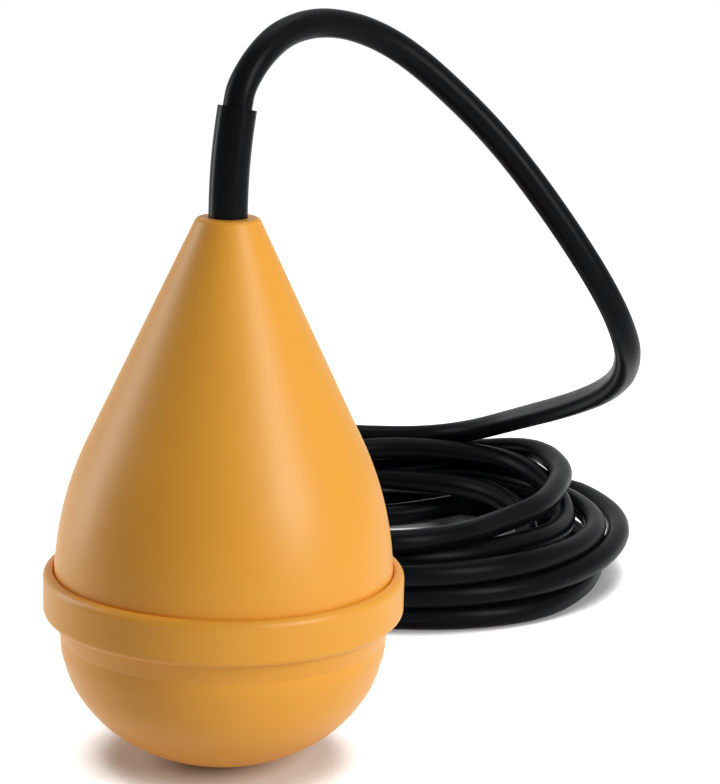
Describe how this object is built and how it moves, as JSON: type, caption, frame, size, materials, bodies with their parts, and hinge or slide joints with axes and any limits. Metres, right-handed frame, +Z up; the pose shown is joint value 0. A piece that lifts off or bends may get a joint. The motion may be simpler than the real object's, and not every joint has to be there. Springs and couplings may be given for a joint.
{
  "type": "cable float switch",
  "caption": "Pear-shaped float with a band round its seam and a rubber cable from a bend sleeve at its neck; inside, a ball in a tube works a lever microswitch.",
  "frame": {"origin": "centre of the flat spot that the float stands on, on the float's axis", "axes": "+Z up the float's axis to its neck, -Y towards the camera, +Y towards the coil of cable"},
  "size_m": [0.1875, 0.3151, 0.2111],
  "materials": {
    "float_moulding": "orange-yellow moulded polypropylene, satin",
    "cable_rubber": "black rubber cable sheath, smooth with a soft sheen",
    "sleeve_rubber": "black rubber bend sleeve, satin",
    "seal_rubber": "dark grey moulded rubber, matte",
    "ballast_iron": "as cast, oiled",
    "inner_moulding": "natural moulded plastic, satin",
    "ball_steel": "polished bearing ball",
    "screw_steel": "zinc-plated steel",
    "spring_steel": "cold-rolled stainless strip",
    "switch_case": "black thermoset moulding",
    "plunger_plastic": "red moulded plastic",
    "gland_plastic": "dark glass-filled plastic",
    "terminal_brass": "stamped brass",
    "ferrule_tin": "tinned copper ferrule",
    "core_brown": "brown core insulation",
    "core_black": "black core insulation",
    "core_blue": "blue core insulation"
  },
  "bodies": {
    "float": {"upper_shell": "float_moulding", "lower_shell": "float_moulding", "seam_seal": "seal_rubber", "ballast_weight": "ballast_iron", "guide_tube": "inner_moulding", "end_buffer": "seal_rubber", "switch_carrier": "inner_moulding", "carrier_screws": "screw_steel", "microswitch_base": "switch_case", "microswitch_cover": "switch_case", "lever_pin": "screw_steel", "switch_screws": "screw_steel", "terminal_common": "terminal_brass", "terminal_closed": "terminal_brass", "terminal_open": "terminal_brass", "receptacle_common": "terminal_brass", "receptacle_closed": "terminal_brass", "receptacle_open": "terminal_brass", "inner_core_common": "core_black", "inner_core_closed": "core_brown", "inner_core_open": "core_blue", "seal_bush": "seal_rubber", "thrust_washer": "screw_steel", "gland_screw": "gland_plastic", "clamp_half_front": "gland_plastic", "clamp_half_back": "gland_plastic", "clamp_screws": "screw_steel", "bend_sleeve": "sleeve_rubber", "neck_cable": "cable_rubber", "free_cable": "cable_rubber", "cable_coil": "cable_rubber", "cable_tail": "cable_rubber", "end_core_brown": "core_brown", "end_core_black": "core_black", "end_core_blue": "core_blue", "ferrule_brown": "ferrule_tin", "ferrule_black": "ferrule_tin", "ferrule_blue": "ferrule_tin"},
    "ball": {"steel_ball": "ball_steel"},
    "lever": {"switch_lever": "spring_steel"},
    "plunger": {"switch_plunger": "plunger_plastic"}
  },
  "joints": [
    {"name": "ball_slide", "type": "slide", "parent": "float", "child": "ball", "axis": [0, 0, 1], "range_m": [0, 0.026]},
    {"name": "lever_hinge", "type": "hinge", "parent": "float", "child": "lever", "pos_m": [-0.0115, 0, 0.06096], "axis": [0, -1, 0], "range_deg": [0, 8], "stiffness_Nm_per_rad": 0.004, "springref_deg": -5.73},
    {"name": "plunger_slide", "type": "slide", "parent": "float", "child": "plunger", "axis": [0, 0, 1], "range_m": [0, 0.00105]}
  ],
  "couplings": [
    {"joint": "lever_hinge", "follows": "plunger_slide", "rad_per_m": 133.33}
  ]
}
